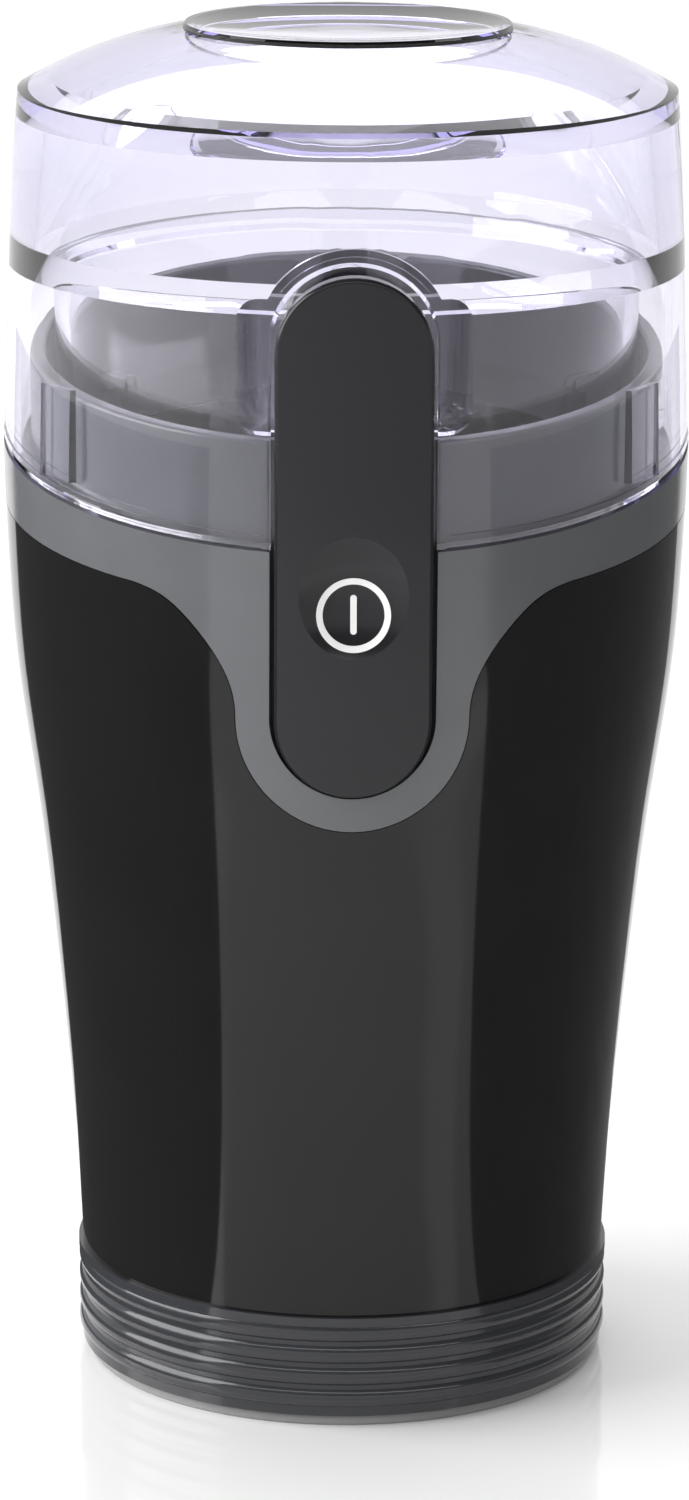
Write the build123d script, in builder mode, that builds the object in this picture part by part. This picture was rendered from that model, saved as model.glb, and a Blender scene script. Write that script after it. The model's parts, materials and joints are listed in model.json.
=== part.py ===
from build123d import *
import math
import os

# Blade coffee grinder. Millimetres, +Z up, front of the body towards -Y.
# The origin is the centre of the foot ring, on the surface that the grinder stands on.

os.makedirs("parts", exist_ok=True)

# ---- Driving dimensions ----
WALL = 2.2
FOOT_HEIGHT = 1.6
BASE_RING_TOP = 15.3
COLLAR_SLOPE = math.degrees(math.atan(7.0 / 45.0))
SEAM_SLOPE = math.degrees(math.atan(5.6 / 45.0))
SEAM_MID = 118.2
SHOULDER_MID = 126.3
LID_EDGE_MID = 126.8
NECK_TOP_MID = 139.2
NECK_RADIUS = 41.6
NECK_BORE = 39.5
NECK_ROUND = 0.5
SEAM_GAP = 0.12

BUTTON_WIDTH = 19.9
BUTTON_BOTTOM = 87.6
BUTTON_TOP = 154.3
BUTTON_PROUD = 1.0
BUTTON_BACK = 1.8
BUTTON_TRAVEL = 1.6
BUTTON_ROUND = 0.6
POCKET_WIDTH = 21.1
POCKET_BOTTOM = 87.2
POCKET_WALL = 1.6
POCKET_FLOOR = 1.2
POCKET_DEPTH = BUTTON_BACK + BUTTON_TRAVEL + 0.4
DISH_HEIGHT = 113.2
DISH_RADIUS = 8.0
DISH_SPHERE = 18.0
MARK_HEIGHT = 111.6
MARK_RADIUS = 4.7
MARK_STROKE = 0.81

LID_SLOT_WIDTH = 20.8
LID_SLOT_TOP = 155.7
LID_TOP = 180.5
CHAMBER_RIM = 151.0
CHAMBER_WALL = 1.8
SEAT_GAP = 0.7
SEAT_FLOOR = 88.2

SHAFT_RADIUS = 2.5
RUNNING_GAP = 0.03
STACK_LOW = 34.0
STACK_HIGH = 58.0
STATOR_RADIUS = 28.5
STATOR_BORE = 14.3
ARMATURE_RADIUS = 13.8
BRUSH_HEIGHT = 22.5
TIE_PLACES = [(-25.3, 0), (25.3, 0)]
TIE_HOLE = 1.75
MOUNT_POST_RADIUS = 24.0

# Outer surface of the body, and of the button that carries it on up the lid: (radius, height).
BODY_OUTLINE = [(35.3, 15.3), (36.45, 34.5), (38.6, 57.5), (41.0, 78.0), (43.6, 96.5),
                (44.7, 112.0), (45.1, 123.0), (45.1, 134.5)]
BUTTON_OUTLINE = [(42.0, 84.0), (43.6, 96.5), (44.7, 112.0), (45.1, 123.0), (44.8, 135.0),
                  (44.3, 150.0), (44.1, 157.0)]
CUP_OUTLINE = [(29.4, 95.2), (30.6, 104.0), (33.2, 112.0), (36.3, 124.0), (37.9, 136.0),
               (38.4, 148.6)]
LID_WALL = [(45.05, 118.0), (44.8, 135.0), (44.3, 150.0), (43.85, 161.0), (43.0, 172.0)]


def save(part, label):
    """Label a finished piece and write its STEP file."""
    part.label = label
    export_step(part, "parts/" + label + ".step")


def core(outline, grow):
    """Solid of revolution inside an outline, grown outwards or (negative) inwards."""
    points = [(radius + grow, height) for radius, height in outline]
    with BuildPart() as solid:
        with BuildSketch(Plane.XZ):
            with BuildLine():
                side = Spline(*points)
                Polyline(side @ 1, (0, points[-1][1]), (0, points[0][1]), side @ 0)
            make_face()
        revolve(axis=Axis.Z)
    return solid.part


def ring(outer, inner, low, high):
    """Plain ring about Z."""
    with BuildPart() as solid:
        with BuildSketch(Plane.XY.offset(low)):
            Circle(outer)
            if inner > 0:
                Circle(inner, mode=Mode.SUBTRACT)
        extrude(amount=high - low)
    return solid.part


def block(x_low, x_high, y_low, y_high, z_low, z_high):
    """Plain box from its limits."""
    with BuildPart() as solid:
        with BuildSketch(Plane.XY.offset(z_low)):
            with Locations(((x_low + x_high) / 2, (y_low + y_high) / 2)):
                Rectangle(x_high - x_low, y_high - y_low)
        extrude(amount=z_high - z_low)
    return solid.part


def tilted_plane(mid_height, slope):
    """Plane that is lower at the front than at the back."""
    angle = math.radians(slope)
    return Plane(origin=(0, 0, mid_height), x_dir=(1, 0, 0), z_dir=(0, -math.sin(angle), math.cos(angle)))


def plane_height(mid_height, slope, y):
    """Height of a tilted plane at a distance y from the axis."""
    return mid_height + y * math.tan(math.radians(slope))


def front_slot(width, low, high, near=20.0):
    """Upright round-ended prism that runs out of the front of the body."""
    with BuildPart() as solid:
        with BuildSketch(Plane.XZ.offset(near)):
            with Locations((0, (low + high) / 2)):
                SlotOverall(high - low, width, rotation=90)
        extrude(amount=40)
    return solid.part


def bib_prism(gap):
    """Prism of the collar's bib: flared at the top, half round at the bottom."""
    half = 14.9 - gap
    shoulder_x = 29.7
    with BuildPart() as solid:
        with BuildSketch(Plane.XZ.offset(20)):
            with BuildLine():
                flare = Spline((half, 97.5), (17.1 - gap, 105.1), (21.8 - gap, 110.8 + gap),
                               (shoulder_x, 114.1 + gap), tangents=[(0, 1), (1, 0.11)])
                Polyline(flare @ 1, (shoulder_x, 124), (0, 124), (0, 97.5 - half))
                middle = (half * math.sin(math.pi / 4), 97.5 - half * math.cos(math.pi / 4))
                ThreePointArc((0, 97.5 - half), middle, (half, 97.5))
            make_face()
            mirror(about=Plane.YZ)
        extrude(amount=40)
    return solid.part


def spring(radius, wire, length, turns, start, direction):
    """Helical compression spring from a start point along a direction."""
    with BuildPart() as solid:
        with BuildLine():
            coil = Helix(pitch=length / turns, height=length, radius=radius,
                         center=start, direction=direction)
        with BuildSketch(Plane(origin=coil @ 0, z_dir=coil % 0)):
            Circle(wire / 2)
        sweep(path=coil, is_frenet=True)
    return solid.part


body_core = core(BODY_OUTLINE, 0)
body_inner = core(BODY_OUTLINE, -WALL)
seam_plane = tilted_plane(SEAM_MID, SEAM_SLOPE)
shoulder_plane = tilted_plane(SHOULDER_MID, COLLAR_SLOPE)
shoulder_under = tilted_plane(SHOULDER_MID - 2.0, COLLAR_SLOPE)
neck_plane = tilted_plane(NECK_TOP_MID, COLLAR_SLOPE)

# ---- Foot, base plate and ribbed ring ----
BASE_SCREW_RADIUS = 26.0
SCREW_SHANK = 1.25
SCREW_HEAD = 2.5
SCREW_FIT = 0.02
SCREW_CLEAR = 0.15
HEAD_HEIGHT = 1.6
FOOT_OUTER = 34.6
FOOT_INNER = 30.0
PLATE_RADIUS = 33.2
PLATE_THICK = 2.6
SCREW_PAD = 4.0
SCREW_PAD_HEIGHT = 2.2
BASE_SCREW_LENGTH = 11.0
VENT_RADIUS = 17.0
VENT_LENGTH = 9.0
VENT_WIDTH = 2.2
RING_OUTER = 35.35
RING_INNER = 33.4

with BuildPart() as foot_ring:
    with BuildSketch():
        Circle(FOOT_OUTER)
        Circle(FOOT_INNER, mode=Mode.SUBTRACT)
    extrude(amount=FOOT_HEIGHT)
    chamfer(foot_ring.edges().group_by(Axis.Z)[0], 0.3)
save(foot_ring.part, "foot_ring")

with BuildPart() as base_plate:
    with BuildSketch(Plane.XY.offset(FOOT_HEIGHT)):
        Circle(PLATE_RADIUS)
    extrude(amount=PLATE_THICK)
    with BuildSketch(Plane.XY.offset(FOOT_HEIGHT + PLATE_THICK)):
        with PolarLocations(BASE_SCREW_RADIUS, 3, start_angle=90):
            Circle(SCREW_PAD)
    extrude(amount=SCREW_PAD_HEIGHT)
    with BuildSketch(Plane.XY.offset(FOOT_HEIGHT)):
        with PolarLocations(VENT_RADIUS, 12, start_angle=15):
            SlotOverall(VENT_LENGTH, VENT_WIDTH)
        with PolarLocations(BASE_SCREW_RADIUS, 3, start_angle=90):
            Circle(SCREW_SHANK + SCREW_CLEAR)
    extrude(amount=10, mode=Mode.SUBTRACT)
    with BuildSketch(Plane.XY.offset(FOOT_HEIGHT)):
        with PolarLocations(BASE_SCREW_RADIUS, 3, start_angle=90):
            Circle(SCREW_HEAD + 0.2)
    extrude(amount=HEAD_HEIGHT + 0.2, mode=Mode.SUBTRACT)
save(base_plate.part, "base_plate")

RIB_PITCH = 3.0
RIB_COUNT = 4
RIB_RADIUS = 35.0
RIB_LOW = 4.1
RIB_DEPTH = 0.85
RIB_HALF_HEIGHT = 1.32
CORD_HEIGHT = 24.0
CORD_BORE = 3.4
INLET_RADIUS = 5.1
with BuildPart() as base_ring:
    with BuildSketch(Plane.XZ):
        with Locations(((RING_INNER + RING_OUTER) / 2, (FOOT_HEIGHT + BASE_RING_TOP) / 2)):
            Rectangle(RING_OUTER - RING_INNER, BASE_RING_TOP - FOOT_HEIGHT)
        with Locations(*[(RIB_RADIUS, RIB_LOW + RIB_PITCH * rib) for rib in range(RIB_COUNT)]):
            Ellipse(RIB_DEPTH, RIB_HALF_HEIGHT)
        with Locations((35.2, BASE_RING_TOP - 0.6)):
            Rectangle(1.4, 1.2)
        with Locations(((31.9 + 33.6) / 2, 5.4)):
            Rectangle(33.6 - 31.9, 2.0)
    revolve(axis=Axis.Z)
    with BuildSketch(Plane.XZ.offset(-30)):
        with Locations((0, CORD_HEIGHT)):
            Circle(INLET_RADIUS)
    extrude(amount=-20, mode=Mode.SUBTRACT)
save(base_ring.part, "base_ring")

with BuildPart() as base_screws:
    with BuildSketch(Plane.XY.offset(FOOT_HEIGHT + 0.1)):
        with PolarLocations(BASE_SCREW_RADIUS, 3, start_angle=90):
            Circle(SCREW_HEAD)
    extrude(amount=HEAD_HEIGHT)
    with BuildSketch(Plane.XY.offset(FOOT_HEIGHT + 0.1 + HEAD_HEIGHT)):
        with PolarLocations(BASE_SCREW_RADIUS, 3, start_angle=90):
            Circle(SCREW_SHANK)
    extrude(amount=BASE_SCREW_LENGTH)
save(base_screws.part, "base_screws")

# ---- Body shell ----
LUG_RADIUS = 39.9
LUG_ANGLES = [30, -30, 150, -150]
LUG_TOP = 113.6
LUG_THICK = 3.6
SPIGOT_LOW = 6.6
SPIGOT_OUTER = 33.25
SPIGOT_INNER = 31.0
SPIGOT_HEIGHT = 10.6
COLUMN_RADIUS = 3.2
COLUMN_HEIGHT = 8.4
with BuildPart() as body_shell:
    add(body_core)
    add(body_inner, mode=Mode.SUBTRACT)
    split(bisect_by=seam_plane, keep=Keep.BOTTOM)
    add(bib_prism(0), mode=Mode.SUBTRACT)
    # Spigot inside the ribbed ring
    with BuildSketch(Plane.XY.offset(SPIGOT_LOW)):
        Circle(SPIGOT_OUTER)
        Circle(SPIGOT_INNER, mode=Mode.SUBTRACT)
    extrude(amount=SPIGOT_HEIGHT)
    # Screw columns of the base, each with a web to the spigot
    with BuildSketch(Plane.XY.offset(SPIGOT_LOW)):
        with PolarLocations(BASE_SCREW_RADIUS, 3, start_angle=90):
            Circle(COLUMN_RADIUS)
        with PolarLocations(BASE_SCREW_RADIUS + 3.5, 3, start_angle=90):
            Rectangle(4.5, 2.4)
    extrude(amount=COLUMN_HEIGHT)
    with BuildSketch(Plane.XY.offset(6.0)):
        with PolarLocations(BASE_SCREW_RADIUS, 3, start_angle=90):
            Circle(SCREW_SHANK + SCREW_FIT)
    extrude(amount=8.6, mode=Mode.SUBTRACT)
    # Lugs that the collar is screwed to
    with BuildSketch(Plane.XY.offset(LUG_TOP - LUG_THICK)):
        for angle in LUG_ANGLES:
            with PolarLocations(LUG_RADIUS, 1, start_angle=angle):
                Circle(2.9)
                with Locations((1.7, 0)):
                    Rectangle(2.8, 6.0)
    extrude(amount=LUG_THICK)
    with BuildSketch(Plane.XY.offset(LUG_TOP - LUG_THICK - 1)):
        for angle in LUG_ANGLES:
            with PolarLocations(LUG_RADIUS, 1, start_angle=angle):
                Circle(SCREW_SHANK + SCREW_CLEAR)
    extrude(amount=6.0, mode=Mode.SUBTRACT)
    # Opening of the cord inlet at the back
    with BuildSketch(Plane.XZ.offset(-25)):
        with Locations((0, CORD_HEIGHT)):
            Circle(INLET_RADIUS)
    extrude(amount=-20, mode=Mode.SUBTRACT)
save(body_shell.part, "body_shell")

GROMMET_RADIUS = 5.0
GROMMET_FLANGE = 6.4
GROMMET_START = 29.5
GROMMET_LENGTH = 8.3
with BuildPart() as cord_grommet:
    with BuildSketch(Plane.XZ.offset(-GROMMET_START)):
        with Locations((0, CORD_HEIGHT)):
            Circle(GROMMET_RADIUS)
    extrude(amount=-GROMMET_LENGTH)
    for start, length in ((30.6, 1.6), (36.4, 1.4)):
        with BuildSketch(Plane.XZ.offset(-start)):
            with Locations((0, CORD_HEIGHT)):
                Circle(GROMMET_FLANGE)
        extrude(amount=-length)
    with BuildSketch(Plane.XZ.offset(-29.0)):
        with Locations((0, CORD_HEIGHT)):
            Circle(CORD_BORE)
    extrude(amount=-10.0, mode=Mode.SUBTRACT)
save(cord_grommet.part, "cord_grommet")

# ---- Collar: band, shoulder under the lid, neck inside the lid, bib round the button ----
with BuildPart() as below_seam:
    add(block(-60, 60, -60, 60, 0, 160))
    split(bisect_by=tilted_plane(SEAM_MID + SEAM_GAP, SEAM_SLOPE), keep=Keep.BOTTOM)
    add(bib_prism(SEAM_GAP), mode=Mode.SUBTRACT)

with BuildPart() as shoulder_and_neck:
    add(core(BODY_OUTLINE, -0.4))
    split(bisect_by=shoulder_under, keep=Keep.TOP)
    split(bisect_by=shoulder_plane, keep=Keep.BOTTOM)
    with BuildSketch(Plane.XY.offset(126.0)):
        Circle(NECK_RADIUS)
    extrude(amount=30.0)
    split(bisect_by=shoulder_under, keep=Keep.TOP)
    split(bisect_by=neck_plane, keep=Keep.BOTTOM)

with BuildPart() as neck_foot:
    with BuildSketch(Plane.XY.offset(110.0)):
        Circle(NECK_RADIUS)
    extrude(amount=20.0)
    split(bisect_by=shoulder_under, keep=Keep.TOP)

with BuildPart() as pocket_floor_cut:
    add(front_slot(POCKET_WIDTH, POCKET_BOTTOM, 160.0))
    add(core(BUTTON_OUTLINE, -POCKET_DEPTH), mode=Mode.SUBTRACT)
    split(bisect_by=Plane.XY.offset(134.0), keep=Keep.BOTTOM)

with BuildPart() as pocket_block:
    add(front_slot(POCKET_WIDTH + 2 * POCKET_WALL, POCKET_BOTTOM - POCKET_WALL, 160.0))
    add(core(BODY_OUTLINE, -0.4), mode=Mode.INTERSECT)
    add(core(BUTTON_OUTLINE, -POCKET_DEPTH - POCKET_FLOOR), mode=Mode.SUBTRACT)
    split(bisect_by=shoulder_plane, keep=Keep.BOTTOM)

COLUMN_FOOT = 116.0
COLLAR_COLUMN = 2.6
POST_PLACES = [(0, 91.5), (0, 99.0)]
POST_RADIUS = 2.6
with BuildPart() as collar:
    add(body_core)
    add(body_inner, mode=Mode.SUBTRACT)
    add(below_seam.part, mode=Mode.SUBTRACT)
    split(bisect_by=shoulder_plane, keep=Keep.BOTTOM)
    add(shoulder_and_neck.part)
    add(neck_foot.part)
    with BuildSketch(Plane.XY.offset(100.0)):
        Circle(NECK_BORE)
    extrude(amount=60.0, mode=Mode.SUBTRACT)
    add(pocket_block.part)
    # Screw columns under the shoulder
    for angle in LUG_ANGLES:
        centre_y = LUG_RADIUS * math.sin(math.radians(angle))
        column_top = plane_height(SHOULDER_MID, COLLAR_SLOPE, centre_y) - 1.2
        with BuildSketch(Plane.XY.offset(COLUMN_FOOT)):
            with PolarLocations(LUG_RADIUS, 1, start_angle=angle):
                Circle(COLLAR_COLUMN)
        extrude(amount=column_top - COLUMN_FOOT)
        with BuildSketch(Plane.XY.offset(COLUMN_FOOT)):
            with PolarLocations(LUG_RADIUS, 1, start_angle=angle):
                Circle(SCREW_SHANK + SCREW_FIT)
        extrude(amount=4.2, mode=Mode.SUBTRACT)
    add(pocket_floor_cut.part, mode=Mode.SUBTRACT)
    with BuildSketch(Plane.XZ.offset(30)):
        with Locations(*POST_PLACES):
            Circle(POST_RADIUS + 0.5)
    extrude(amount=20, mode=Mode.SUBTRACT)
    neck_rim = collar.faces().sort_by(Axis(neck_plane.origin, neck_plane.z_dir))[-1]
    fillet(neck_rim.edges().filter_by(GeomType.ELLIPSE), NECK_ROUND)
save(collar.part, "collar")

# ---- Seat of the removable chamber ----
SEAT_WALL = 1.6
SEAT_FLANGE_LOW = 113.8
SEAT_FLANGE_THICK = 2.0
SEAT_FLANGE_RADIUS = 42.1
SEAT_UNDER = 86.6
DRIVE_OPENING = 8.6
DRIVE_LIP = 10.0
MOUNT_POST = 3.4
MOUNT_POST_LOW = 79.2
KEY_RADIUS = 29.3
KEY_HEIGHT = 3.3
with BuildPart() as chamber_well:
    add(core(CUP_OUTLINE, SEAT_GAP + SEAT_WALL))
    split(bisect_by=Plane.XY.offset(SEAT_FLANGE_LOW + SEAT_FLANGE_THICK), keep=Keep.BOTTOM)
    add(ring(CUP_OUTLINE[0][0] + SEAT_GAP + SEAT_WALL, 0, SEAT_UNDER, CUP_OUTLINE[0][1]))
    with BuildSketch(Plane.XY.offset(SEAT_FLANGE_LOW)):
        Circle(SEAT_FLANGE_RADIUS)
    extrude(amount=SEAT_FLANGE_THICK)
    add(core(CUP_OUTLINE, SEAT_GAP), mode=Mode.SUBTRACT)
    add(ring(CUP_OUTLINE[0][0] + SEAT_GAP, 0, SEAT_FLOOR, 96.0), mode=Mode.SUBTRACT)
    # Keys that stop the chamber turning
    for angle in (30, 150, 270):
        with BuildSketch(Plane.XY.offset(SEAT_FLOOR)):
            with PolarLocations(KEY_RADIUS, 2, start_angle=angle - 10, angular_range=40):
                Rectangle(2.2, 3.0)
        extrude(amount=KEY_HEIGHT)
    # Raised lip of the drive opening
    with BuildSketch(Plane.XY.offset(SEAT_FLOOR)):
        Circle(DRIVE_LIP)
    extrude(amount=1.2)
    # Posts that the motor hangs from
    with BuildSketch(Plane.XY.offset(MOUNT_POST_LOW)):
        with PolarLocations(MOUNT_POST_RADIUS, 4, start_angle=45):
            Circle(MOUNT_POST)
    extrude(amount=SEAT_UNDER + 0.2 - MOUNT_POST_LOW)
    with BuildSketch(Plane.XY.offset(79.0)):
        with PolarLocations(MOUNT_POST_RADIUS, 4, start_angle=45):
            Circle(1.52)
    extrude(amount=6.0, mode=Mode.SUBTRACT)
    with BuildSketch(Plane.XY.offset(80.0)):
        Circle(DRIVE_OPENING)
    extrude(amount=12.0, mode=Mode.SUBTRACT)
    # Screw holes in the flange, and room for the button pocket at the front
    with BuildSketch(Plane.XY.offset(113.0)):
        for angle in LUG_ANGLES:
            with PolarLocations(LUG_RADIUS, 1, start_angle=angle):
                Circle(SCREW_SHANK + SCREW_CLEAR)
        with Locations((0, -43.5)):
            Rectangle(27.0, 12.0)
    extrude(amount=4.0, mode=Mode.SUBTRACT)
save(chamber_well.part, "chamber_well")

with BuildPart() as drive_seal:
    add(ring(DRIVE_OPENING, DRIVE_OPENING - 0.65, SEAT_UNDER + 0.1, SEAT_FLOOR - 0.1))
save(drive_seal.part, "drive_seal")

SMALL_HEAD = 2.1
COLLAR_SCREW_LENGTH = 9.6
with BuildPart() as collar_screws:
    with BuildSketch(Plane.XY.offset(LUG_TOP - LUG_THICK - HEAD_HEIGHT)):
        for angle in LUG_ANGLES:
            with PolarLocations(LUG_RADIUS, 1, start_angle=angle):
                Circle(SMALL_HEAD)
    extrude(amount=HEAD_HEIGHT)
    with BuildSketch(Plane.XY.offset(LUG_TOP - LUG_THICK)):
        for angle in LUG_ANGLES:
            with PolarLocations(LUG_RADIUS, 1, start_angle=angle):
                Circle(SCREW_SHANK)
    extrude(amount=COLLAR_SCREW_LENGTH)
save(collar_screws.part, "collar_screws")

# ---- Button and its mechanism ----
PLATE_FRONT = 36.9
PLATE_BACK = 35.7
dish_centre_y = -(44.75 + BUTTON_PROUD + math.sqrt(DISH_SPHERE ** 2 - DISH_RADIUS ** 2))
with BuildPart() as power_button:
    add(front_slot(BUTTON_WIDTH, BUTTON_BOTTOM, BUTTON_TOP))
    add(core(BUTTON_OUTLINE, BUTTON_PROUD), mode=Mode.INTERSECT)
    add(core(BUTTON_OUTLINE, -BUTTON_BACK), mode=Mode.SUBTRACT)
    fillet(power_button.faces().sort_by(Axis.Y)[0].edges(), BUTTON_ROUND)
    with BuildSketch(Plane.XZ.offset(PLATE_FRONT)):
        with Locations(*POST_PLACES):
            Circle(POST_RADIUS)
    extrude(amount=5.2)
    with BuildSketch(Plane.XZ.offset(PLATE_FRONT - 1)):
        with Locations(*POST_PLACES):
            Circle(1.02)
    extrude(amount=5.0, mode=Mode.SUBTRACT)
    with Locations((0, dish_centre_y, DISH_HEIGHT)):
        Sphere(DISH_SPHERE, mode=Mode.SUBTRACT)
save(power_button.part, "power_button")

with BuildPart() as power_symbol:
    with BuildSketch(Plane.XZ.offset(30)):
        with Locations((0, MARK_HEIGHT)):
            Circle(MARK_RADIUS)
            Circle(MARK_RADIUS - MARK_STROKE, mode=Mode.SUBTRACT)
            SlotOverall(5.0, MARK_STROKE, rotation=90)
    extrude(amount=30)
    with Locations((0, dish_centre_y, DISH_HEIGHT)):
        Sphere(DISH_SPHERE, mode=Mode.INTERSECT)
        Sphere(DISH_SPHERE - 0.15, mode=Mode.SUBTRACT)
save(power_symbol.part, "power_symbol")

SPRING_HEIGHT = 75.4
SPRING_PLACES = [(-3.6, -30.4, SPRING_HEIGHT), (3.6, -30.4, SPRING_HEIGHT)]
ACTUATOR_MID = 87.5
ACTUATOR_WIDTH = 13.0
ACTUATOR_HEIGHT = 31.0
with BuildPart() as button_actuator:
    with BuildSketch(Plane.XZ.offset(PLATE_BACK)):
        with Locations((0, ACTUATOR_MID)):
            Rectangle(ACTUATOR_WIDTH, ACTUATOR_HEIGHT)
        with Locations(*POST_PLACES):
            Circle(1.1, mode=Mode.SUBTRACT)
    extrude(amount=PLATE_FRONT - PLATE_BACK)
    fillet(button_actuator.edges().filter_by(Axis.Y).group_by(SortBy.LENGTH)[0], 2.0)
save(button_actuator.part, "button_actuator")

with BuildPart() as button_screws:
    with BuildSketch(Plane.XZ.offset(PLATE_BACK)):
        with Locations(*POST_PLACES):
            Circle(1.0)
    extrude(amount=4.6)
    with BuildSketch(Plane.XZ.offset(PLATE_BACK)):
        with Locations(*POST_PLACES):
            Circle(2.0)
    extrude(amount=-1.0)
save(button_screws.part, "button_screws")

SWITCH_FRONT = -33.8
SWITCH_BACK = -23.8
SWITCH_SCREWS = [(-5.0, -26.0), (5.0, -26.0)]
SWITCH_LOW = 79.5
SWITCH_HIGH = 85.9
SWITCH_HALF_WIDTH = 9.9
SWITCH_HOLE = 1.25
PLUNGER_HEIGHT = (SWITCH_LOW + SWITCH_HIGH) / 2
with BuildPart() as microswitch:
    add(block(-SWITCH_HALF_WIDTH, SWITCH_HALF_WIDTH, SWITCH_FRONT, SWITCH_BACK, SWITCH_LOW, SWITCH_HIGH))
    fillet(microswitch.edges().filter_by(Axis.Z), 0.8)
    with BuildSketch(Plane.XY.offset(SWITCH_LOW)):
        with Locations(*SWITCH_SCREWS):
            Circle(SWITCH_HOLE)
    extrude(amount=10, mode=Mode.SUBTRACT)
    with BuildSketch(Plane.XZ.offset(29.6)):
        with Locations((0, PLUNGER_HEIGHT)):
            Circle(1.4)
    extrude(amount=10, mode=Mode.SUBTRACT)
    # Terminal blades
    with BuildSketch(Plane.XZ.offset(-SWITCH_BACK)):
        with Locations((-6.5, PLUNGER_HEIGHT), (0, PLUNGER_HEIGHT), (6.5, PLUNGER_HEIGHT)):
            Rectangle(0.8, 4.0)
    extrude(amount=-5.0)
save(microswitch.part, "microswitch")

with BuildPart() as switch_plunger:
    with BuildSketch(Plane.XZ.offset(31.6)):
        with Locations((0, PLUNGER_HEIGHT)):
            Circle(1.1)
    extrude(amount=4.0)
    fillet(switch_plunger.edges().sort_by(Axis.Y)[0], 0.5)
save(switch_plunger.part, "switch_plunger")

BRACKET_LOW = 77.9
BRACKET_TOP = 79.4
BRACKET_HALF_WIDTH = 12.2
BRACKET_CHEEK = 10.4
with BuildPart() as switch_bracket:
    add(block(-BRACKET_HALF_WIDTH, BRACKET_HALF_WIDTH, -33.8, -21.0, BRACKET_LOW, BRACKET_TOP))
    add(block(-9.0, 9.0, -30.1, -28.7, 72.6, BRACKET_LOW))
    add(block(-BRACKET_HALF_WIDTH, -BRACKET_CHEEK, -31.5, -24.0, BRACKET_TOP, 86.5))
    add(block(BRACKET_CHEEK, BRACKET_HALF_WIDTH, -31.5, -24.0, BRACKET_TOP, 86.5))
    with BuildSketch(Plane.XY.offset(BRACKET_LOW - 1)):
        with Locations(*SWITCH_SCREWS):
            Circle(SWITCH_HOLE)
    extrude(amount=3.0, mode=Mode.SUBTRACT)
save(switch_bracket.part, "switch_bracket")

with BuildPart() as switch_screws:
    with BuildSketch(Plane.XY.offset(BRACKET_LOW)):
        with Locations(*SWITCH_SCREWS):
            Circle(1.2)
    extrude(amount=8.0)
    with BuildSketch(Plane.XY.offset(BRACKET_LOW)):
        with Locations(*SWITCH_SCREWS):
            Circle(SMALL_HEAD)
    extrude(amount=-1.2)
save(switch_screws.part, "switch_screws")

with BuildPart() as button_springs:
    for place in SPRING_PLACES:
        add(spring(1.9, 0.5, 4.9, 5, place, (0, -1, 0)))
save(button_springs.part, "button_springs")

# ---- Removable chamber ----
with BuildPart() as chamber_cup:
    with BuildSketch(Plane.XZ):
        with BuildLine():
            outer = Spline(*CUP_OUTLINE)
            inner = Spline(*[(radius - CHAMBER_WALL, height) for radius, height in CUP_OUTLINE])
            Polyline(outer @ 1, (38.9, 149.2), (38.9, CHAMBER_RIM), (36.9, CHAMBER_RIM), inner @ 1)
            Line(inner @ 0, outer @ 0)
        make_face()
    revolve(axis=Axis.Z)
save(chamber_cup.part, "chamber_cup")

HUB_TOP = 104.5
BUSHING_RADIUS = 4.6
with BuildPart() as chamber_base:
    with BuildSketch(Plane.XZ):
        with BuildLine():
            Polyline((BUSHING_RADIUS, 96.0), (25.4, 96.0), (25.4, 88.5), (27.4, 88.5), (27.4, 93.4),
                     (29.4, 93.4), (29.4, 95.1), (27.4, 95.1), (27.4, 97.6), (7.0, 97.6), (7.0, HUB_TOP),
                     (BUSHING_RADIUS, HUB_TOP), (BUSHING_RADIUS, 96.0))
        make_face()
    revolve(axis=Axis.Z)
    # Lugs between the keys of the seat
    with BuildSketch(Plane.XY.offset(88.5)):
        with PolarLocations(28.0, 3, start_angle=30):
            Rectangle(2.4, 5.0)
    extrude(amount=3.0)
save(chamber_base.part, "chamber_base")

with BuildPart() as chamber_floor:
    with BuildSketch(Plane.XZ):
        with BuildLine():
            Polyline((7.1, 97.7), (25.6, 97.7))
            RadiusArc((25.6, 97.7), (28.0, 103.0), -7.0)
            Line((28.0, 103.0), (27.2, 103.0))
            RadiusArc((27.2, 103.0), (25.2, 98.5), 6.2)
            Polyline((25.2, 98.5), (7.1, 98.5), (7.1, 97.7))
        make_face()
    revolve(axis=Axis.Z)
save(chamber_floor.part, "chamber_floor")

with BuildPart() as shaft_bushing:
    add(ring(BUSHING_RADIUS, SHAFT_RADIUS + RUNNING_GAP, 96.0, 103.4))
save(shaft_bushing.part, "shaft_bushing")

with BuildPart() as shaft_seal:
    add(ring(BUSHING_RADIUS, SHAFT_RADIUS + 0.3, 103.4, 104.8))
save(shaft_seal.part, "shaft_seal")

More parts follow.
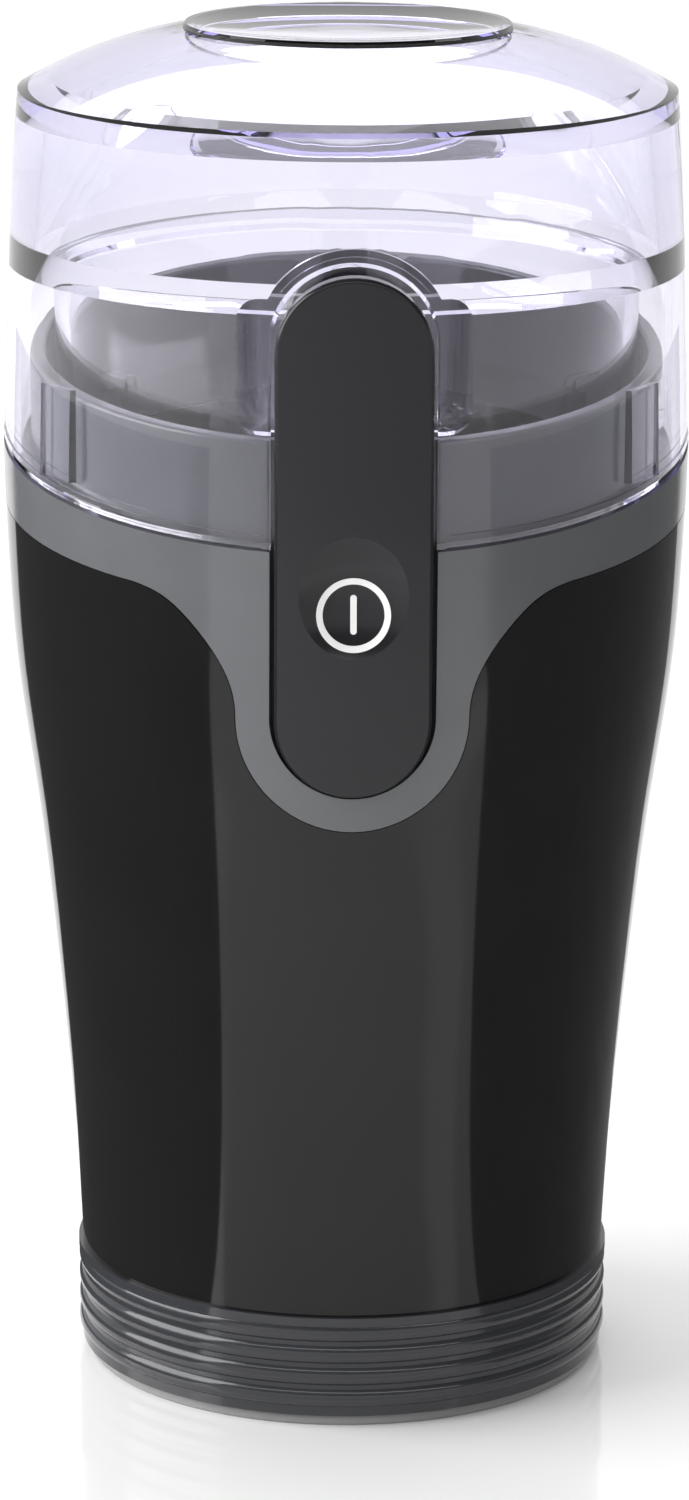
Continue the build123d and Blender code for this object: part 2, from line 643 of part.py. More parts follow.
# ---- Cutter ----
BLADE_HEIGHT = 106.0
BLADE_THICKNESS = 1.5
with BuildPart() as blade:
    with BuildSketch(Plane.XZ.offset(-10)):
        with BuildLine():
            Polyline((0, BLADE_HEIGHT), (16.5, BLADE_HEIGHT), (25.8, BLADE_HEIGHT + 3.6),
                     (25.3, BLADE_HEIGHT + 5.0), (16.2, BLADE_HEIGHT + BLADE_THICKNESS),
                     (0, BLADE_HEIGHT + BLADE_THICKNESS), (0, BLADE_HEIGHT))
        make_face()
        mirror(about=Plane.YZ)
    extrude(amount=20)
    with BuildSketch(Plane.XY.offset(100.0)):
        Circle(5.4)
        with BuildLine():
            Polyline((0, -4.6), (12, -4.2), (26.5, -1.2), (26.5, 3.4), (0, 4.6), (0, -4.6))
        make_face()
        with BuildLine():
            Polyline((0, 4.6), (-12, 4.2), (-26.5, 1.2), (-26.5, -3.4), (0, -4.6), (0, 4.6))
        make_face()
    extrude(amount=20, mode=Mode.INTERSECT)
    with BuildSketch(Plane.XY.offset(100.0)):
        Circle(SHAFT_RADIUS)
    extrude(amount=20, mode=Mode.SUBTRACT)
save(blade.part, "blade")

with BuildPart() as blade_shaft:
    with BuildSketch(Plane.XY.offset(93.0)):
        Circle(SHAFT_RADIUS)
    extrude(amount=17.0)
    with BuildSketch(Plane.XY.offset(105.0)):
        Circle(4.0)
    extrude(amount=1.0)
save(blade_shaft.part, "blade_shaft")

with BuildPart() as blade_nut:
    with BuildSketch(Plane.XY.offset(BLADE_HEIGHT + BLADE_THICKNESS)):
        RegularPolygon(radius=4.6, side_count=6)
    extrude(amount=3.2)
    with Locations((0, 0, 110.0)):
        Sphere(3.6)
    split(bisect_by=Plane.XY.offset(BLADE_HEIGHT + BLADE_THICKNESS), keep=Keep.TOP)
    with BuildSketch(Plane.XY.offset(100.0)):
        Circle(SHAFT_RADIUS)
    extrude(amount=10.0, mode=Mode.SUBTRACT)
save(blade_nut.part, "blade_nut")

DRIVE_FLATS = 8.0
with BuildPart() as driven_coupling:
    with BuildSketch(Plane.XY.offset(85.0)):
        Circle(7.6)
    extrude(amount=10.2)
    with BuildSketch(Plane.XY.offset(85.0)):
        RegularPolygon(radius=DRIVE_FLATS / 2 + 0.35, side_count=6, major_radius=False)
    extrude(amount=8.0, mode=Mode.SUBTRACT)
    with BuildSketch(Plane.XY.offset(90.0)):
        Circle(SHAFT_RADIUS)
    extrude(amount=8.0, mode=Mode.SUBTRACT)
save(driven_coupling.part, "driven_coupling")

with BuildPart() as retaining_ring:
    add(ring(4.6, SHAFT_RADIUS, 95.25, 95.75))
save(retaining_ring.part, "retaining_ring")

# ---- Lid ----
LEDGE_HEIGHT = 149.0
LEDGE_TOP = 152.8
LID_INNER_RADIUS = 40.6
NICHE_BACK = 39.3
NICHE_HALF_WIDTH = 14.6
NICHE_BOTTOM = 134.0
NICHE_SHELF = 151.0
NICHE_RIM = 1.6
BEAD_LOW = 0.7
BEAD_HEIGHT = 0.9
BEAD_PROUD = 0.2
DISC_RADIUS = 21.5
lid_edge_plane = tilted_plane(LID_EDGE_MID, COLLAR_SLOPE)
niche_slot = front_slot(LID_SLOT_WIDTH, 90.0, LID_SLOT_TOP)

with BuildPart() as niche_body:
    add(front_slot(LID_SLOT_WIDTH + 2 * NICHE_RIM, 100.0, LID_SLOT_TOP + NICHE_RIM))
    split(bisect_by=Plane.XY.offset(NICHE_BOTTOM + 3.0), keep=Keep.TOP)
    with BuildSketch(Plane.XZ.offset(30)):
        with Locations((0, (NICHE_BOTTOM + NICHE_SHELF) / 2)):
            RectangleRounded(2 * NICHE_HALF_WIDTH, NICHE_SHELF - NICHE_BOTTOM, 3.0)
    extrude(amount=20)
    add(core(LID_WALL, -0.5), mode=Mode.INTERSECT)
    add(ring(NICHE_BACK, 0, 120, 170), mode=Mode.SUBTRACT)

with BuildPart() as niche_room:
    add(niche_slot)
    add(core(BUTTON_OUTLINE, -POCKET_DEPTH), mode=Mode.SUBTRACT)
    split(bisect_by=Plane.XY.offset(100.0), keep=Keep.TOP)

with BuildPart() as niche_rim:
    add(front_slot(LID_SLOT_WIDTH + 2.4, 90.0, LID_SLOT_TOP + 1.2))
    add(core(LID_WALL, 0.4), mode=Mode.INTERSECT)
    add(core(LID_WALL, -0.8), mode=Mode.SUBTRACT)
    split(bisect_by=lid_edge_plane, keep=Keep.TOP)

with BuildPart() as edge_bead:
    add(core(LID_WALL, BEAD_PROUD))
    split(bisect_by=tilted_plane(LID_EDGE_MID + BEAD_LOW, COLLAR_SLOPE), keep=Keep.TOP)
    split(bisect_by=tilted_plane(LID_EDGE_MID + BEAD_LOW + BEAD_HEIGHT, COLLAR_SLOPE), keep=Keep.BOTTOM)
    add(core(LID_WALL, -BEAD_PROUD), mode=Mode.SUBTRACT)

with BuildPart() as lock_tabs:
    with BuildSketch(Plane.XY.offset(124.5)):
        Circle(43.3)
        Circle(42.0, mode=Mode.SUBTRACT)
        with PolarLocations(42.0, 1, start_angle=-90 + 59.5):
            Rectangle(14.0, 7.0, mode=Mode.INTERSECT)
    extrude(amount=12.0)
    mirror(about=Plane.YZ)

with BuildPart() as lid:
    with BuildSketch(Plane.XZ):
        with BuildLine():
            wall = Spline(*LID_WALL)
            RadiusArc(wall @ 1, (DISC_RADIUS, 179.7), -62.0)
            Polyline((DISC_RADIUS, 179.7), (DISC_RADIUS, LID_TOP - 0.3), (DISC_RADIUS - 0.3, LID_TOP),
                     (DISC_RADIUS - 1.2, LID_TOP))
            RadiusArc((DISC_RADIUS - 1.2, LID_TOP), (4.0, 179.4), 121.0)
            Polyline((4.0, 179.4), (0, 179.4), (0, 177.0), (8.0, 177.0))
            RadiusArc((8.0, 177.0), (37.5, 170.6), 72.0)
            Line((37.5, 170.6), (39.4, 168.0))
            Line((39.4, 168.0), (LID_INNER_RADIUS, LEDGE_TOP))
            skirt = Spline((43.05, 118.0), (42.8, 135.0), (42.35, LEDGE_HEIGHT))
            Line((LID_INNER_RADIUS, LEDGE_TOP), skirt @ 1)
            Line(skirt @ 0, wall @ 0)
        make_face()
    revolve(axis=Axis.Z)
    add(lock_tabs.part)
    add(edge_bead.part)
    add(niche_body.part)
    add(niche_rim.part)
    add(niche_room.part, mode=Mode.SUBTRACT)
    split(bisect_by=lid_edge_plane, keep=Keep.TOP)
save(lid.part, "lid")

# ---- Motor, fixed parts ----
POLE_HALF_ANGLE = 40.0
with BuildPart() as window_wedges:
    with BuildSketch(Plane.XY.offset(STACK_LOW - 10)):
        Circle(22.0)
        Circle(STATOR_BORE, mode=Mode.SUBTRACT)
        with BuildLine():
            reach = 40.0
            tip = (reach, reach * math.tan(math.radians(90 - POLE_HALF_ANGLE)))
            Polyline((0, 0), tip, (tip[0], -tip[1]), (0, 0))
        make_face(mode=Mode.INTERSECT)
        mirror(about=Plane.YZ)
    extrude(amount=50)

with BuildPart() as stator_core:
    with BuildSketch(Plane.XY.offset(STACK_LOW)):
        Circle(STATOR_RADIUS)
        Rectangle(2 * STATOR_RADIUS, 47.0, mode=Mode.INTERSECT)
        Circle(STATOR_BORE, mode=Mode.SUBTRACT)
        with Locations(*TIE_PLACES):
            Circle(TIE_HOLE, mode=Mode.SUBTRACT)
    extrude(amount=STACK_HIGH - STACK_LOW)
    add(window_wedges.part, mode=Mode.SUBTRACT)
save(stator_core.part, "stator_core")

COIL_OVERHANG = 6.0
with BuildPart() as field_coils:
    with BuildSketch(Plane.XY.offset(STACK_LOW - COIL_OVERHANG)):
        Circle(21.4)
        Circle(15.2, mode=Mode.SUBTRACT)
        Rectangle(60, 7.0, mode=Mode.SUBTRACT)
    extrude(amount=STACK_HIGH - STACK_LOW + 2 * COIL_OVERHANG)
    with BuildSketch(Plane.XY.offset(STACK_LOW - 0.3)):
        Circle(30.0)
    extrude(amount=STACK_HIGH - STACK_LOW + 0.6, mode=Mode.SUBTRACT)
    # Coil sides that lie in the windows of the core
    with BuildSketch(Plane.XY.offset(STACK_LOW - 1)):
        for side in (-1, 1):
            for wing in (-1, 1):
                with PolarLocations(18.3, 1, start_angle=90 - 90 * side + 29 * wing):
                    Rectangle(6.0, 8.0)
    extrude(amount=STACK_HIGH - STACK_LOW + 2)
save(field_coils.part, "field_coils")

BEARING_RADIUS = 5.5
with BuildPart() as lower_bracket:
    with BuildSketch(Plane.XY.offset(7.5)):
        SlotOverall(58.0, 13.0)
        Rectangle(13.0, 40.0)
        Circle(12.0)
    extrude(amount=3.0)
    with BuildSketch(Plane.XY.offset(7.5)):
        Circle(8.0)
    extrude(amount=8.5)
    with BuildSketch(Plane.XY.offset(10.5)):
        with Locations(*TIE_PLACES):
            Circle(2.9)
    extrude(amount=STACK_LOW - 10.5)
    with BuildSketch(Plane.XY.offset(10.5)):
        with Locations((0, -15.0), (0, 15.0)):
            Rectangle(9.0, 7.0)
    extrude(amount=BRUSH_HEIGHT - 4.3 - 10.5)
    with BuildSketch(Plane.XY.offset(7.0)):
        Circle(BEARING_RADIUS)
        with Locations(*TIE_PLACES):
            Circle(TIE_HOLE)
    extrude(amount=30, mode=Mode.SUBTRACT)
save(lower_bracket.part, "lower_bracket")

UPPER_PLATE = 71.0
with BuildPart() as upper_bracket:
    with BuildSketch(Plane.XY.offset(UPPER_PLATE)):
        Circle(28.5)
        with PolarLocations(16.2, 4):
            Circle(4.2, mode=Mode.SUBTRACT)
    extrude(amount=4.0)
    with BuildSketch(Plane.XY.offset(70.6)):
        Circle(8.0)
    extrude(amount=8.4)
    with BuildSketch(Plane.XY.offset(STACK_HIGH)):
        with Locations(*TIE_PLACES):
            Circle(2.9)
    extrude(amount=UPPER_PLATE - STACK_HIGH)
    with BuildSketch(Plane.XY.offset(70.0)):
        Circle(BEARING_RADIUS)
        with PolarLocations(MOUNT_POST_RADIUS, 4, start_angle=45):
            Circle(TIE_HOLE)
    extrude(amount=10, mode=Mode.SUBTRACT)
    with BuildSketch(Plane.XY.offset(STACK_HIGH - 1)):
        with Locations(*TIE_PLACES):
            Circle(1.62)
    extrude(amount=15, mode=Mode.SUBTRACT)
save(upper_bracket.part, "upper_bracket")

with BuildPart() as lower_bearing:
    add(ring(BEARING_RADIUS, SHAFT_RADIUS + RUNNING_GAP, 8.0, 15.4))
save(lower_bearing.part, "lower_bearing")

with BuildPart() as upper_bearing:
    add(ring(BEARING_RADIUS, SHAFT_RADIUS + RUNNING_GAP, 71.2, 78.6))
save(upper_bearing.part, "upper_bearing")

with BuildPart() as motor_screws:
    with BuildSketch(Plane.XY.offset(5.9)):
        with Locations(*TIE_PLACES):
            Circle(2.9)
    extrude(amount=1.6)
    with BuildSketch(Plane.XY.offset(7.5)):
        with Locations(*TIE_PLACES):
            Circle(1.6)
    extrude(amount=63.0)
save(motor_screws.part, "motor_screws")

with BuildPart() as motor_mounts:
    with BuildSketch(Plane.XY.offset(75.0)):
        with PolarLocations(MOUNT_POST_RADIUS, 4, start_angle=45):
            Circle(4.2)
            Circle(1.7, mode=Mode.SUBTRACT)
    extrude(amount=4.2)
save(motor_mounts.part, "motor_mounts")

with BuildPart() as mount_screws:
    with BuildSketch(Plane.XY.offset(69.4)):
        with PolarLocations(MOUNT_POST_RADIUS, 4, start_angle=45):
            Circle(2.8)
    extrude(amount=1.6)
    with BuildSketch(Plane.XY.offset(71.0)):
        with PolarLocations(MOUNT_POST_RADIUS, 4, start_angle=45):
            Circle(1.5)
    extrude(amount=12.5)
save(mount_screws.part, "mount_screws")

HOLDER_INNER = 9.6
HOLDER_OUTER = 20.6
with BuildPart() as brush_holders:
    with BuildSketch(Plane.XZ.offset(HOLDER_INNER)):
        with Locations((0, BRUSH_HEIGHT)):
            Rectangle(7.4, 8.4)
    extrude(amount=HOLDER_OUTER - HOLDER_INNER)
    with BuildSketch(Plane.XZ.offset(HOLDER_INNER)):
        with Locations((0, BRUSH_HEIGHT)):
            Rectangle(5.3, 6.3)
    extrude(amount=HOLDER_OUTER - HOLDER_INNER - 0.8, mode=Mode.SUBTRACT)
    mirror(about=Plane.XZ)
save(brush_holders.part, "brush_holders")

BRUSH_TAIL = 15.4
with BuildPart() as carbon_brushes:
    with BuildSketch(Plane.XZ.offset(8.1)):
        with Locations((0, BRUSH_HEIGHT)):
            Rectangle(5.0, 6.0)
    extrude(amount=BRUSH_TAIL - 8.1)
    mirror(about=Plane.XZ)
save(carbon_brushes.part, "carbon_brushes")

with BuildPart() as brush_springs:
    add(spring(1.8, 0.4, 3.8, 5, (0, -BRUSH_TAIL - 0.3, BRUSH_HEIGHT), (0, -1, 0)))
    add(spring(1.8, 0.4, 3.8, 5, (0, BRUSH_TAIL + 0.3, BRUSH_HEIGHT), (0, 1, 0)))
save(brush_springs.part, "brush_springs")

with BuildPart() as suppressor_capacitor:
    add(block(8.0, 20.0, -22.0, -15.0, 7.6, 19.0))
    fillet(suppressor_capacitor.edges(), 1.0)
save(suppressor_capacitor.part, "suppressor_capacitor")

# ---- Motor, turning parts ----
with BuildPart() as motor_shaft:
    with BuildSketch(Plane.XY.offset(7.6)):
        Circle(SHAFT_RADIUS)
    extrude(amount=84.2)
    with BuildSketch(Plane.XY.offset(27.8)):
        Circle(3.6)
    extrude(amount=36.8)
    chamfer(motor_shaft.faces().sort_by(Axis.Z)[0].edges(), 0.4)
    chamfer(motor_shaft.faces().sort_by(Axis.Z)[-1].edges(), 0.4)
save(motor_shaft.part, "motor_shaft")

SLOT_COUNT = 12
with BuildPart() as armature_core:
    with BuildSketch(Plane.XY.offset(STACK_LOW)):
        Circle(ARMATURE_RADIUS)
        Circle(3.6, mode=Mode.SUBTRACT)
        with PolarLocations(10.2, SLOT_COUNT):
            Rectangle(4.6, 2.8, mode=Mode.SUBTRACT)
        with PolarLocations(13.2, SLOT_COUNT):
            Rectangle(2.4, 1.0, mode=Mode.SUBTRACT)
    extrude(amount=STACK_HIGH - STACK_LOW)
save(armature_core.part, "armature_core")

with BuildPart() as armature_windings:
    for low, high in ((STACK_LOW - 5.6, STACK_LOW), (STACK_HIGH, STACK_HIGH + 5.6)):
        with BuildSketch(Plane.XY.offset(low)):
            Circle(12.8)
            Circle(3.6, mode=Mode.SUBTRACT)
        extrude(amount=high - low)
    with BuildSketch(Plane.XY.offset(STACK_LOW - 1)):
        with PolarLocations(10.2, SLOT_COUNT):
            Rectangle(4.4, 2.6)
    extrude(amount=STACK_HIGH - STACK_LOW + 2)
    rims = armature_windings.edges().filter_by(GeomType.CIRCLE).filter_by(lambda edge: edge.radius > 12)
    fillet([rims.sort_by(Axis.Z)[0], rims.sort_by(Axis.Z)[-1]], 1.8)
save(armature_windings.part, "armature_windings")

with BuildPart() as commutator:
    with BuildSketch(Plane.XY.offset(17.6)):
        Circle(8.0)
        Circle(SHAFT_RADIUS, mode=Mode.SUBTRACT)
        with PolarLocations(7.8, 2 * SLOT_COUNT):
            Rectangle(0.9, 0.4, mode=Mode.SUBTRACT)
    extrude(amount=9.8)
save(commutator.part, "commutator")

with BuildPart() as thrust_washers:
    add(ring(4.4, SHAFT_RADIUS, 16.2, 17.2))
    add(ring(4.4, SHAFT_RADIUS, 69.7, 70.5))
save(thrust_washers.part, "thrust_washers")

with BuildPart() as cooling_fan:
    with BuildSketch(Plane.XY.offset(64.8)):
        Circle(20.0)
        Circle(SHAFT_RADIUS, mode=Mode.SUBTRACT)
    extrude(amount=1.0)
    with BuildSketch(Plane.XY.offset(65.8)):
        Circle(5.0)
        Circle(SHAFT_RADIUS, mode=Mode.SUBTRACT)
        with PolarLocations(13.5, 10):
            Rectangle(12.5, 1.2, rotation=20)
    extrude(amount=3.2)
save(cooling_fan.part, "cooling_fan")

with BuildPart() as drive_coupling:
    with BuildSketch(Plane.XY.offset(80.4)):
        Circle(7.4)
    extrude(amount=3.8)
    with BuildSketch(Plane.XY.offset(84.2)):
        RegularPolygon(radius=DRIVE_FLATS / 2, side_count=6, major_radius=False)
    extrude(amount=8.0)
    chamfer(drive_coupling.faces().sort_by(Axis.Z)[-1].edges(), 0.8)
    with BuildSketch(Plane.XY.offset(80.0)):
        Circle(SHAFT_RADIUS)
    extrude(amount=11.8, mode=Mode.SUBTRACT)
save(drive_coupling.part, "drive_coupling")
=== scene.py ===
import json
import math

import bpy
from mathutils import Matrix, Vector

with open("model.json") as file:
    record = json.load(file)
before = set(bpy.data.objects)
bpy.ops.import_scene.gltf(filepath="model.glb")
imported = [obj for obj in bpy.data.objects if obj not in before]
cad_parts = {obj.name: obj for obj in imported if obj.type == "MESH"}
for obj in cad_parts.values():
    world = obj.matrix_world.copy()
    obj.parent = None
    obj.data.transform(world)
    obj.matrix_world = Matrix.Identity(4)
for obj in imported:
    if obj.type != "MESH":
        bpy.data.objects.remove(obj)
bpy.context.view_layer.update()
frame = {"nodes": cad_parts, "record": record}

# Blade coffee grinder. Metres, +Z up, front of the body towards -Y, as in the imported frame.

scene = bpy.context.scene
scene.view_settings.view_transform = "Standard"


# ---- Node helpers ----
class Nodes:
    """Short hand for adding nodes to a tree and linking them."""

    def __init__(self, tree):
        self.tree = tree
        self.coords = self.add("ShaderNodeTexCoord")

    def add(self, kind, **settings):
        node = self.tree.nodes.new(kind)
        for key, value in settings.items():
            setattr(node, key, value)
        return node

    def link(self, source, target):
        self.tree.links.new(source, target)

    def feed(self, socket, value):
        """Give a socket a plain number, or link it to another node's output."""
        if isinstance(value, bpy.types.NodeSocket):
            self.link(value, socket)
        else:
            socket.default_value = value

    def spread(self, factor, low, high, start=0.0, end=1.0, **settings):
        """Map factor, between start and end, to a value between low and high."""
        node = self.add("ShaderNodeMapRange", **settings)
        node.inputs["From Min"].default_value = start
        node.inputs["From Max"].default_value = end
        self.feed(node.inputs["To Min"], low)
        self.feed(node.inputs["To Max"], high)
        self.link(factor, node.inputs["Value"])
        return node.outputs["Result"]


class Surface(Nodes):
    """A Principled material, with the chains of nodes that several materials share."""

    def __init__(self, name):
        self.name = name
        self.material = bpy.data.materials.new(name)
        self.material.use_nodes = True
        super().__init__(self.material.node_tree)
        self.shader = self.tree.nodes["Principled BSDF"]
        self.output = self.tree.nodes["Material Output"]

    def noise(self, scale, detail=3.0, stretch=(1, 1, 1)):
        mapping = self.add("ShaderNodeMapping")
        mapping.inputs["Scale"].default_value = stretch
        self.link(self.coords.outputs["Object"], mapping.inputs["Vector"])
        node = self.add("ShaderNodeTexNoise")
        node.inputs["Scale"].default_value = scale
        node.inputs["Detail"].default_value = detail
        self.link(mapping.outputs["Vector"], node.inputs["Vector"])
        return node.outputs["Fac"]

    def colour(self, factor, low, high, start=0.3, end=0.7):
        """Base colour that runs from low to high as factor runs from start to end."""
        node = self.add("ShaderNodeValToRGB")
        for element, position, colour in zip(node.color_ramp.elements, (start, end), (low, high)):
            element.position = position
            element.color = colour
        self.link(factor, node.inputs["Fac"])
        self.link(node.outputs["Color"], self.shader.inputs["Base Color"])

    def roughness(self, factor, low, high):
        self.link(self.spread(factor, low, high), self.shader.inputs["Roughness"])

    def bump(self, height, strength, depth):
        node = self.add("ShaderNodeBump")
        node.inputs["Strength"].default_value = strength
        node.inputs["Distance"].default_value = depth
        self.link(height, node.inputs["Height"])
        self.link(node.outputs["Normal"], self.shader.inputs["Normal"])

    def set(self, **values):
        for key, value in values.items():
            self.shader.inputs[key.replace("_", " ")].default_value = value


def shade(colour, factor):
    return tuple(min(1.0, channel * factor) for channel in colour) + (1.0,)


# ---- Materials ----
MOTTLE_SCALE = 60.0
GRAIN_DEPTH = 50e-6
MARK_DEPTH = 40e-6
WIRE_SCALE = 900.0
WIRE_WOBBLE = 0.6
WIRE_DEPTH = 200e-6
HAZE_SCALE = 35.0
HAZE_ROUGHNESS = 0.012
ALONG_RINGS = (1, 1, 14)
ALONG_SHEETS = (1, 1, 60)


def moulded(name, colour, roughness, grain=900.0, relief=0.05, ior=1.45):
    """Moulded plastic: faint colour mottling, fine grain and a roughness that varies a little."""
    m = Surface(name)
    m.colour(m.noise(MOTTLE_SCALE, 4.0), shade(colour, 0.93), shade(colour, 1.07))
    fine = m.noise(grain, 2.0)
    m.roughness(fine, roughness * 0.85, roughness * 1.15)
    m.bump(fine, relief, GRAIN_DEPTH)
    m.set(IOR=ior)
    return m


def metal(name, colour, roughness, stretch=(1, 1, 1), scale=600.0, relief=0.08):
    """Metal with turned or brushed marks, packed closer along the axis with the largest stretch."""
    m = Surface(name)
    marks = m.noise(scale, 5.0, stretch)
    m.colour(marks, shade(colour, 0.82), shade(colour, 1.12))
    m.roughness(marks, roughness * 0.7, roughness * 1.3)
    m.bump(marks, relief, MARK_DEPTH)
    m.set(Metallic=1.0)
    return m


def wound(name, colour):
    """Rows of enamelled wire: rounded bands with a lacquer shine. The colour carries painted shade and
    highlight, dark in the grooves between rows and light on their crowns.
    """
    m = Surface(name)
    wave = m.add("ShaderNodeTexWave", bands_direction="Z")
    wave.inputs["Scale"].default_value = WIRE_SCALE
    wave.inputs["Distortion"].default_value = WIRE_WOBBLE
    m.link(m.coords.outputs["Object"], wave.inputs["Vector"])
    wire_rows_and_painted_shade = wave.outputs["Fac"]
    # Painted shade and highlight: the wire colour runs from dark in the grooves between rows to light on
    # their crowns
    m.colour(wire_rows_and_painted_shade, shade(colour, 0.35), shade(colour, 1.1), start=0.1, end=0.8)
    m.bump(wire_rows_and_painted_shade, 0.6, WIRE_DEPTH)
    m.set(Metallic=0.7, Roughness=0.3)
    return m


def clear(name, tint, density):
    """Clear moulded plastic with a tint that shows where it is thick."""
    m = Surface(name)
    haze = m.noise(HAZE_SCALE, 3.0)
    m.roughness(haze, 0.0, HAZE_ROUGHNESS)
    m.colour(haze, (0.985, 0.985, 1.0, 1.0), (1.0, 1.0, 1.0, 1.0))
    m.set(Transmission_Weight=1.0, IOR=1.49)
    volume = m.add("ShaderNodeVolumeAbsorption")
    volume.inputs["Color"].default_value = shade(tint, 1.0)
    volume.inputs["Density"].default_value = density
    m.link(volume.outputs["Volume"], m.output.inputs["Volume"])
    return m


SURFACES = (
    clear("clear_plastic", (0.60, 0.54, 0.98), density=42.0),
    moulded("grey_satin", (0.118, 0.121, 0.129), 0.16, grain=2600.0, relief=0.02, ior=1.5),
    moulded("black_gloss", (0.0105, 0.0105, 0.011), 0.07, grain=500.0, relief=0.02, ior=1.38),
    moulded("black_satin", (0.015, 0.015, 0.0175), 0.17, grain=1600.0, relief=0.05, ior=1.4),
    moulded("white_print", (0.88, 0.88, 0.88), 0.45, grain=3000.0, relief=0.10),
    moulded("dark_grey", (0.034, 0.035, 0.040), 0.13, grain=900.0, relief=0.03, ior=1.5),
    moulded("pale_rubber", (0.26, 0.26, 0.26), 0.35, grain=1800.0, relief=0.15),
    moulded("black_plastic", (0.02, 0.02, 0.021), 0.42, grain=1500.0, relief=0.25),
    moulded("black_rubber", (0.015, 0.015, 0.015), 0.65, grain=2200.0, relief=0.3),
    moulded("carbon", (0.03, 0.03, 0.032), 0.5, grain=3000.0, relief=0.3),
    moulded("nylon_white", (0.72, 0.70, 0.64), 0.4, grain=1200.0, relief=0.1),
    moulded("fibre", (0.30, 0.09, 0.04), 0.7, grain=2000.0, relief=0.4),
    moulded("blue_film", (0.03, 0.10, 0.35), 0.15, grain=200.0, relief=0.05),
    metal("stainless", (0.60, 0.60, 0.59), 0.22, stretch=ALONG_RINGS),
    metal("zinc_steel", (0.55, 0.56, 0.58), 0.32),
    metal("lamination", (0.22, 0.22, 0.24), 0.45, stretch=ALONG_SHEETS, scale=300.0, relief=0.4),
    metal("bronze", (0.48, 0.30, 0.15), 0.5, scale=2500.0, relief=0.3),
    metal("brass", (0.70, 0.50, 0.20), 0.25),
    wound("copper", (0.62, 0.24, 0.10)),
)
slot_material = {surface.name: surface.material for surface in SURFACES}
node_slot = {entry["node"]: entry["material_slot"] for entry in frame["record"]["subparts"]}
for name, piece in frame["nodes"].items():
    piece.data.materials.clear()
    piece.data.materials.append(slot_material[node_slot[name]])


# ---- Camera ----
CAMERA_DISTANCE = 0.7588
CAMERA_HEIGHT = 0.2742
CAMERA_AZIMUTH = math.radians(-1.35)
CAMERA_PITCH = math.radians(14.144)
CAMERA_ROLL = -0.00518
CAMERA_LENS = 140.31
CAMERA_SENSOR = 36.0
CAMERA_NEAR = 0.01


def add_camera():
    forward = Vector((-math.sin(CAMERA_AZIMUTH), math.cos(CAMERA_AZIMUTH), 0))
    place = -CAMERA_DISTANCE * forward + Vector((0, 0, CAMERA_HEIGHT))
    right = Vector((forward.y, -forward.x, 0))
    view = math.cos(CAMERA_PITCH) * forward - math.sin(CAMERA_PITCH) * Vector((0, 0, 1))
    up = right.cross(view)
    turned_right = math.cos(CAMERA_ROLL) * right - math.sin(CAMERA_ROLL) * up
    turned_up = math.sin(CAMERA_ROLL) * right + math.cos(CAMERA_ROLL) * up
    data = bpy.data.cameras.new("camera")
    data.lens = CAMERA_LENS
    data.sensor_width = CAMERA_SENSOR
    data.clip_start = CAMERA_NEAR
    camera = bpy.data.objects.new("camera", data)
    axes = Matrix((turned_right, turned_up, -view)).transposed()
    camera.matrix_world = Matrix.Translation(place) @ axes.to_4x4()
    scene.collection.objects.link(camera)
    scene.camera = camera


add_camera()


# ---- Floor and flags ----
FLOOR_REACH = 6.0
FLOOR_GREYS = (0.93, 0.95)
FLOOR_ROUGHNESS = 0.07
FLAG_INNER = 0.05
FLAG_OUTER = 0.9
FLAG_FROM = math.radians(46)
FLAG_TO = math.radians(148)
FLAG_STEPS = 12
FLAG_LIFT = 0.0005


def add_mesh(name, points, faces, material):
    mesh = bpy.data.meshes.new(name)
    mesh.from_pydata(points, [], faces)
    mesh.materials.append(material)
    item = bpy.data.objects.new(name, mesh)
    scene.collection.objects.link(item)
    return item


def add_floor():
    m = Surface("floor")
    low, high = ((grey, grey, grey, 1.0) for grey in FLOOR_GREYS)
    m.colour(m.noise(2.0), low, high)
    m.set(Roughness=FLOOR_ROUGHNESS)
    corners = [(x * FLOOR_REACH, y * FLOOR_REACH, 0) for x, y in ((-1, -1), (1, -1), (1, 1), (-1, 1))]
    add_mesh("floor", corners, [(0, 1, 2, 3)], m.material)


def add_flag(name, side, grey, absorbs):
    """Dark card that lies beside the grinder and keeps the bright floor out of its side reflections."""
    points = []
    for step in range(FLAG_STEPS + 1):
        angle = FLAG_FROM + (FLAG_TO - FLAG_FROM) * step / FLAG_STEPS
        for radius in (FLAG_INNER, FLAG_OUTER):
            points.append((side * radius * math.sin(angle), -radius * math.cos(angle), FLAG_LIFT))
    # The corners run the other way round on the left card, so that both cards face up
    faces = [(2 * step, 2 * step + 1, 2 * step + 3, 2 * step + 2)[::side] for step in range(FLAG_STEPS)]
    m = Surface(name)
    m.colour(m.noise(40.0), shade((grey, grey, grey), 0.9), shade((grey, grey, grey), 1.1))
    m.set(Roughness=1.0)
    # Seen only from above, so that it never shows in the floor that it lies on
    clear_side = m.add("ShaderNodeBsdfTransparent")
    either = m.add("ShaderNodeMixShader")
    m.link(m.add("ShaderNodeNewGeometry").outputs["Backfacing"], either.inputs["Fac"])
    m.link(m.shader.outputs["BSDF"], either.inputs[1])
    m.link(clear_side.outputs["BSDF"], either.inputs[2])
    m.link(either.outputs["Shader"], m.output.inputs["Surface"])
    card = add_mesh(name, points, faces, m.material)
    card.visible_camera = False
    card.visible_diffuse = absorbs
    card.visible_transmission = False
    card.visible_volume_scatter = False
    card.visible_shadow = False


add_floor()
add_flag("left_flag", side=-1, grey=0.01, absorbs=False)
add_flag("right_flag", side=1, grey=0.14, absorbs=True)


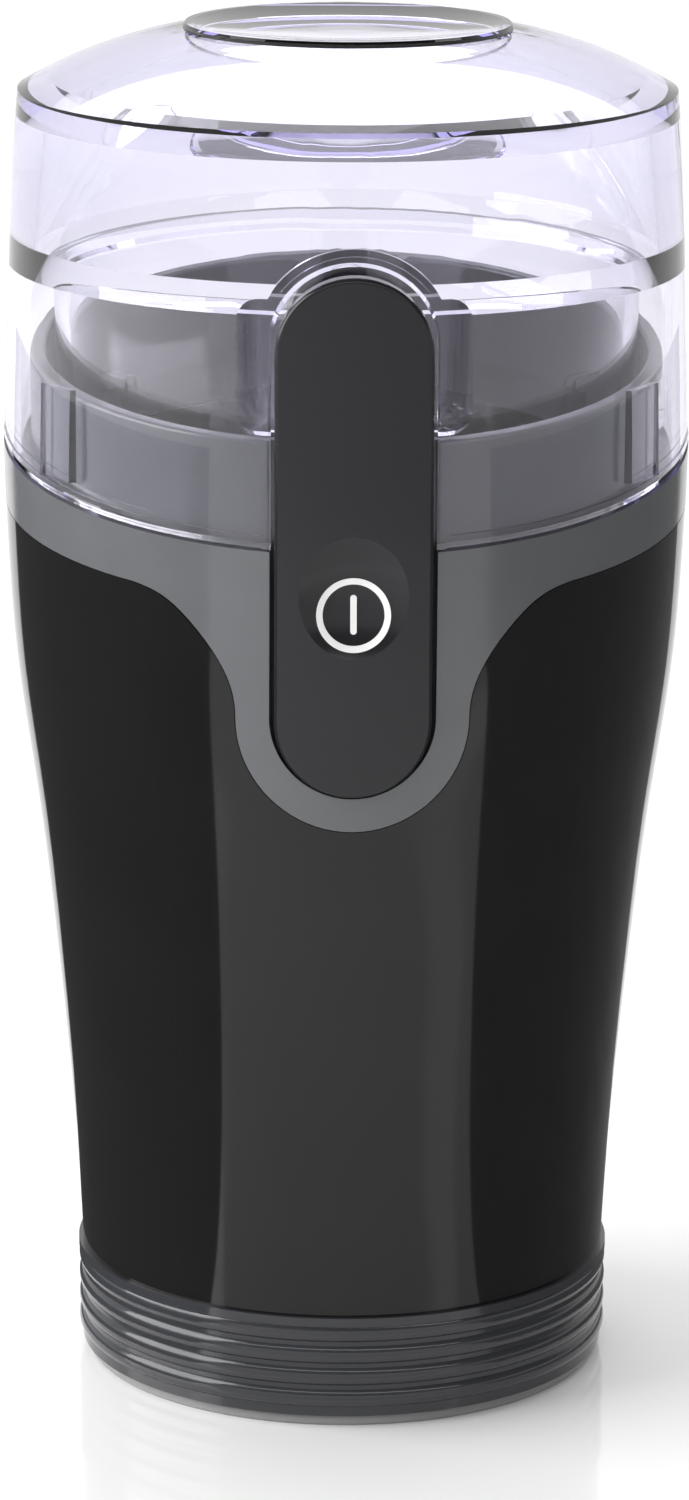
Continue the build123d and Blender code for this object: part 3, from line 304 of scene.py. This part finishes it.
# ---- Light ----
SKY_DIFFUSE = 0.40
SKY_FRONT = 0.12
SKY_BACK = 0.9
SKY_THROUGH = 1.0
SKY_SEEN = 1.0
WALL_FROM = 0.2
WALL_TO = 0.6
HORIZON_LOW = 0.08
HORIZON_HIGH = 0.22


def add_world():
    """White studio: a bright wall behind and a bright horizon, a darker room above it, and a soft fill."""
    world = bpy.data.worlds.new("world")
    world.use_nodes = True
    n = Nodes(world.node_tree)
    axes = n.add("ShaderNodeSeparateXYZ")
    n.link(n.coords.outputs["Generated"], axes.inputs["Vector"])
    soft = {"interpolation_type": "SMOOTHSTEP"}
    wall = n.spread(axes.outputs["Y"], SKY_FRONT, SKY_BACK, WALL_FROM, WALL_TO, **soft)
    horizon = n.spread(axes.outputs["Z"], SKY_BACK, SKY_FRONT, HORIZON_LOW, HORIZON_HIGH, **soft)
    brighter = n.add("ShaderNodeMath", operation="MAXIMUM")
    n.link(wall, brighter.inputs[0])
    n.link(horizon, brighter.inputs[1])
    path = n.add("ShaderNodeLightPath")
    strength = n.spread(path.outputs["Is Glossy Ray"], SKY_DIFFUSE, brighter.outputs["Value"])
    strength = n.spread(path.outputs["Is Transmission Ray"], strength, SKY_THROUGH)
    strength = n.spread(path.outputs["Is Camera Ray"], strength, SKY_SEEN)
    background = n.tree.nodes["Background"]
    background.inputs["Color"].default_value = (1.0, 1.0, 1.0, 1.0)
    n.link(strength, background.inputs["Strength"])
    scene.world = world


def add_area(name, place, target, size, power):
    data = bpy.data.lights.new(name, "AREA")
    data.shape = "RECTANGLE"
    data.size, data.size_y = size
    data.energy = power
    light = bpy.data.objects.new(name, data)
    light.location = place
    light.rotation_euler = (Vector(target) - Vector(place)).to_track_quat("-Z", "Y").to_euler()
    scene.collection.objects.link(light)


add_world()
add_area("left_box", place=(-1.5, -0.2, 0.8), target=(0, 0, 0.09), size=(1.6, 1.2), power=36.0)
add_area("front_strip", place=(-0.2, -1.3, 1.0), target=(0, 0, 0.1), size=(4.6, 0.22), power=11.0)
add_area("back_box", place=(0.0, 1.3, 1.9), target=(0, 1.0, 0), size=(3.0, 2.0), power=39.0)
